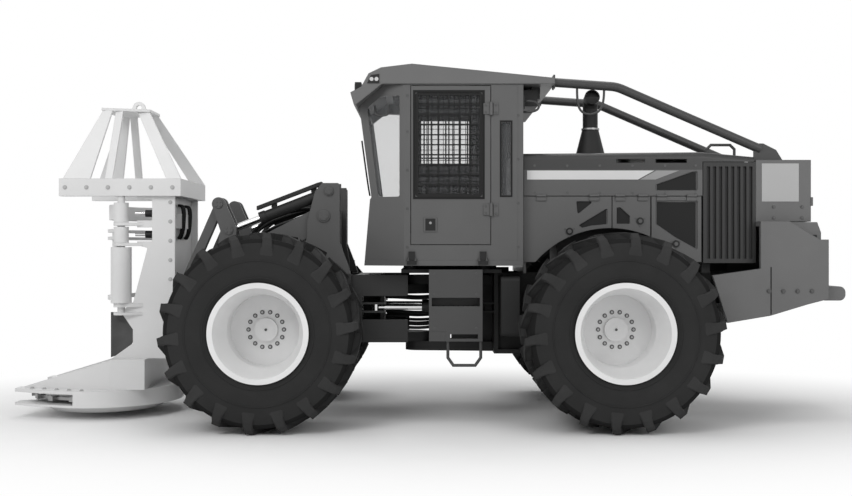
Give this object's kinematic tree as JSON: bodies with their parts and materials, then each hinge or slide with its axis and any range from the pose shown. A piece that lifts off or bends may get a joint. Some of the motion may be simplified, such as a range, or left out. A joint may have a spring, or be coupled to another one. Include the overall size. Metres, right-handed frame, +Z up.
{
  "type": "wheeled feller buncher",
  "caption": "Articulated wheeled forestry machine with a cab, engine hood, lift boom and a disc-saw felling head with gathering arms; steers, lifts, tilts and rolls.",
  "frame": {"origin": "on the ground, below the middle of the machine's length and width", "axes": "+X forward to the felling head, +Y to the machine's left, +Z up"},
  "size_m": [7.689, 2.95, 3.2681],
  "materials": {
    "body_paint": "satin grey",
    "frame_paint": "satin dark grey",
    "head_paint": "pale grey gloss",
    "rim_paint": "pale grey gloss",
    "tyre_rubber": "matte",
    "window_glass": "clear",
    "saw_steel": "worn steel",
    "rod_chrome": "polished",
    "seat_fabric": "matte",
    "mount_rubber": "matte",
    "black_plastic": "matte",
    "stack_metal": "matte"
  },
  "bodies": {
    "rear": {"rear_frame": "frame_paint", "rear_axle": "frame_paint", "engine": "frame_paint", "hood": "body_paint", "radiator_grilles": "body_paint", "rear_housing": "body_paint", "rear_bumper": "body_paint", "bumper_sides": "body_paint", "push_bar": "body_paint", "guard_tubes": "frame_paint", "exhaust_stack": "stack_metal", "cab_floor": "body_paint", "cab_rear_wall": "body_paint", "cab_front_wall": "body_paint", "cab_left_wall": "body_paint", "cab_right_wall": "body_paint", "cab_roof": "body_paint", "cab_glass": "window_glass", "cab_guards": "frame_paint", "operator_seat": "seat_fabric", "cab_mounts": "mount_rubber", "step_ladder": "frame_paint", "side_tanks": "frame_paint", "work_lamps": "black_plastic"},
    "front": {"front_frame": "body_paint", "front_axle": "frame_paint"},
    "boom": {"boom": "body_paint"},
    "levers": {"tilt_levers": "body_paint"},
    "links": {"tilt_links": "body_paint"},
    "lift_barrels": {"lift_barrels": "frame_paint"},
    "lift_rods": {"lift_rods": "rod_chrome"},
    "tilt_barrels": {"tilt_barrels": "frame_paint"},
    "tilt_rods": {"tilt_rods": "rod_chrome"},
    "head": {"head_frame": "head_paint", "head_top_guard": "head_paint", "saw_housing": "head_paint"},
    "saw": {"saw_disc": "saw_steel"},
    "harvest": {"harvest_arm": "head_paint"},
    "accumulator": {"accumulator_arm": "head_paint"},
    "cab_door": {"cab_door": "body_paint", "door_glass": "window_glass", "door_grille": "frame_paint"},
    "steer_barrel_left": {"steer_barrel_left": "frame_paint"},
    "steer_rod_left": {"steer_rod_left": "rod_chrome"},
    "engine_door_left_front": {"engine_door_left_front": "body_paint"},
    "engine_door_left_middle": {"engine_door_left_middle": "body_paint"},
    "engine_door_left_rear": {"engine_door_left_rear": "body_paint"},
    "steer_barrel_right": {"steer_barrel_right": "frame_paint"},
    "steer_rod_right": {"steer_rod_right": "rod_chrome"},
    "engine_door_right_front": {"engine_door_right_front": "body_paint"},
    "engine_door_right_middle": {"engine_door_right_middle": "body_paint"},
    "engine_door_right_rear": {"engine_door_right_rear": "body_paint"},
    "wheel_front_left": {"tyre_front_left": "tyre_rubber", "rim_front_left": "rim_paint"},
    "wheel_front_right": {"tyre_front_right": "tyre_rubber", "rim_front_right": "rim_paint"},
    "wheel_rear_left": {"tyre_rear_left": "tyre_rubber", "rim_rear_left": "rim_paint"},
    "wheel_rear_right": {"tyre_rear_right": "tyre_rubber", "rim_rear_right": "rim_paint"}
  },
  "joints": [
    {"name": "steer", "type": "hinge", "parent": "rear", "child": "front", "pos_m": [0.0795, 0, 0.96], "axis": [0, 0, 1], "range_deg": [-40, 40]},
    {"name": "boom_lift", "type": "hinge", "parent": "front", "child": "boom", "pos_m": [0.957, 0, 1.893], "axis": [0, -1, 0], "range_deg": [-1, 30]},
    {"name": "head_tilt", "type": "hinge", "parent": "boom", "child": "head", "pos_m": [2.28, 0, 0.6], "axis": [0, 1, 0], "range_deg": [-12, 25]},
    {"name": "lever_swing", "type": "hinge", "parent": "boom", "child": "levers", "pos_m": [1.9, 0, 1.38], "axis": [0, 1, 0], "range_deg": [-10.7, 22.2]},
    {"name": "link_swing", "type": "hinge", "parent": "levers", "child": "links", "pos_m": [1.94, 0, 2.005], "axis": [0, 1, 0], "range_deg": [-21.2, 10.2]},
    {"name": "tilt_barrel_swing", "type": "hinge", "parent": "front", "child": "tilt_barrels", "pos_m": [0.908, 0, 2.124], "axis": [0, -1, 0], "range_deg": [-1, 27.6]},
    {"name": "tilt_rod_slide", "type": "slide", "parent": "tilt_barrels", "child": "tilt_rods", "axis": [0.9323, 0, -0.3618], "range_m": [-0.066, 0.136]},
    {"name": "lift_barrel_swing", "type": "hinge", "parent": "front", "child": "lift_barrels", "pos_m": [0.85, 0, 1.05], "axis": [0, -1, 0], "range_deg": [-0.7, 18.4]},
    {"name": "lift_rod_slide", "type": "slide", "parent": "lift_barrels", "child": "lift_rods", "axis": [0.9734, 0, 0.229], "range_m": [-0.0135, 0.386]},
    {"name": "steer_barrel_left_swing", "type": "hinge", "parent": "rear", "child": "steer_barrel_left", "pos_m": [-0.52, 0.33, 1.03], "axis": [0, 0, 1], "range_deg": [-16.1, 16.1]},
    {"name": "steer_rod_left_slide", "type": "slide", "parent": "steer_barrel_left", "child": "steer_rod_left", "axis": [0.9996, 0.03, 0], "range_m": [-0.237, 0.237]},
    {"name": "steer_barrel_right_swing", "type": "hinge", "parent": "rear", "child": "steer_barrel_right", "pos_m": [-0.52, -0.33, 1.03], "axis": [0, 0, 1], "range_deg": [-16.1, 16.1]},
    {"name": "steer_rod_right_slide", "type": "slide", "parent": "steer_barrel_right", "child": "steer_rod_right", "axis": [0.9996, -0.03, 0], "range_m": [-0.237, 0.237]},
    {"name": "saw_spin", "type": "hinge", "parent": "head", "child": "saw", "pos_m": [3.1305, 0, 0.199], "axis": [0, 0, 1], "continuous": true},
    {"name": "harvest_swing", "type": "hinge", "parent": "head", "child": "harvest", "pos_m": [2.85, 0.5, 1.4], "axis": [0, 0, 1], "range_deg": [0, 100]},
    {"name": "accumulator_swing", "type": "hinge", "parent": "head", "child": "accumulator", "pos_m": [2.85, 0.5, 1.93], "axis": [0, 0, 1], "range_deg": [0, 100]},
    {"name": "cab_door_swing", "type": "hinge", "parent": "rear", "child": "cab_door", "pos_m": [-0.593, 0.776, 2.3], "axis": [0, 0, 1], "range_deg": [0, 100]},
    {"name": "engine_door_left_front_swing", "type": "hinge", "parent": "rear", "child": "engine_door_left_front", "pos_m": [-1.303, 0.6723, 2.072], "axis": [1, 0, 0], "range_deg": [0, 90]},
    {"name": "engine_door_left_middle_swing", "type": "hinge", "parent": "rear", "child": "engine_door_left_middle", "pos_m": [-1.89, 0.6723, 2.072], "axis": [1, 0, 0], "range_deg": [0, 90]},
    {"name": "engine_door_left_rear_swing", "type": "hinge", "parent": "rear", "child": "engine_door_left_rear", "pos_m": [-2.3045, 0.6723, 2.072], "axis": [1, 0, 0], "range_deg": [0, 90]},
    {"name": "engine_door_right_front_swing", "type": "hinge", "parent": "rear", "child": "engine_door_right_front", "pos_m": [-1.303, -0.6723, 2.072], "axis": [-1, 0, 0], "range_deg": [0, 90]},
    {"name": "engine_door_right_middle_swing", "type": "hinge", "parent": "rear", "child": "engine_door_right_middle", "pos_m": [-1.89, -0.6723, 2.072], "axis": [-1, 0, 0], "range_deg": [0, 90]},
    {"name": "engine_door_right_rear_swing", "type": "hinge", "parent": "rear", "child": "engine_door_right_rear", "pos_m": [-2.3045, -0.6723, 2.072], "axis": [-1, 0, 0], "range_deg": [0, 90]},
    {"name": "wheel_front_left_roll", "type": "hinge", "parent": "front", "child": "wheel_front_left", "pos_m": [1.4245, 1.0875, 0.865], "axis": [0, 1, 0], "continuous": true},
    {"name": "wheel_front_right_roll", "type": "hinge", "parent": "front", "child": "wheel_front_right", "pos_m": [1.4245, -1.0875, 0.865], "axis": [0, 1, 0], "continuous": true},
    {"name": "wheel_rear_left_roll", "type": "hinge", "parent": "rear", "child": "wheel_rear_left", "pos_m": [-1.6925, 1.0875, 0.865], "axis": [0, 1, 0], "continuous": true},
    {"name": "wheel_rear_right_roll", "type": "hinge", "parent": "rear", "child": "wheel_rear_right", "pos_m": [-1.6925, -1.0875, 0.865], "axis": [0, 1, 0], "continuous": true}
  ],
  "couplings": [
    {"joint": "lever_swing", "follows": "head_tilt", "ratio": 0.885},
    {"joint": "link_swing", "follows": "head_tilt", "ratio": -0.845},
    {"joint": "tilt_rod_slide", "follows": "head_tilt", "m_per_rad": 0.31},
    {"joint": "tilt_barrel_swing", "follows": "boom_lift", "ratio": 0.915},
    {"joint": "lift_barrel_swing", "follows": "boom_lift", "ratio": 0.612},
    {"joint": "lift_rod_slide", "follows": "boom_lift", "m_per_rad": 0.735},
    {"joint": "steer_barrel_left_swing", "follows": "steer", "ratio": 0.4},
    {"joint": "steer_barrel_right_swing", "follows": "steer", "ratio": 0.4},
    {"joint": "steer_rod_left_slide", "follows": "steer", "m_per_rad": -0.338},
    {"joint": "steer_rod_right_slide", "follows": "steer", "m_per_rad": 0.338}
  ]
}
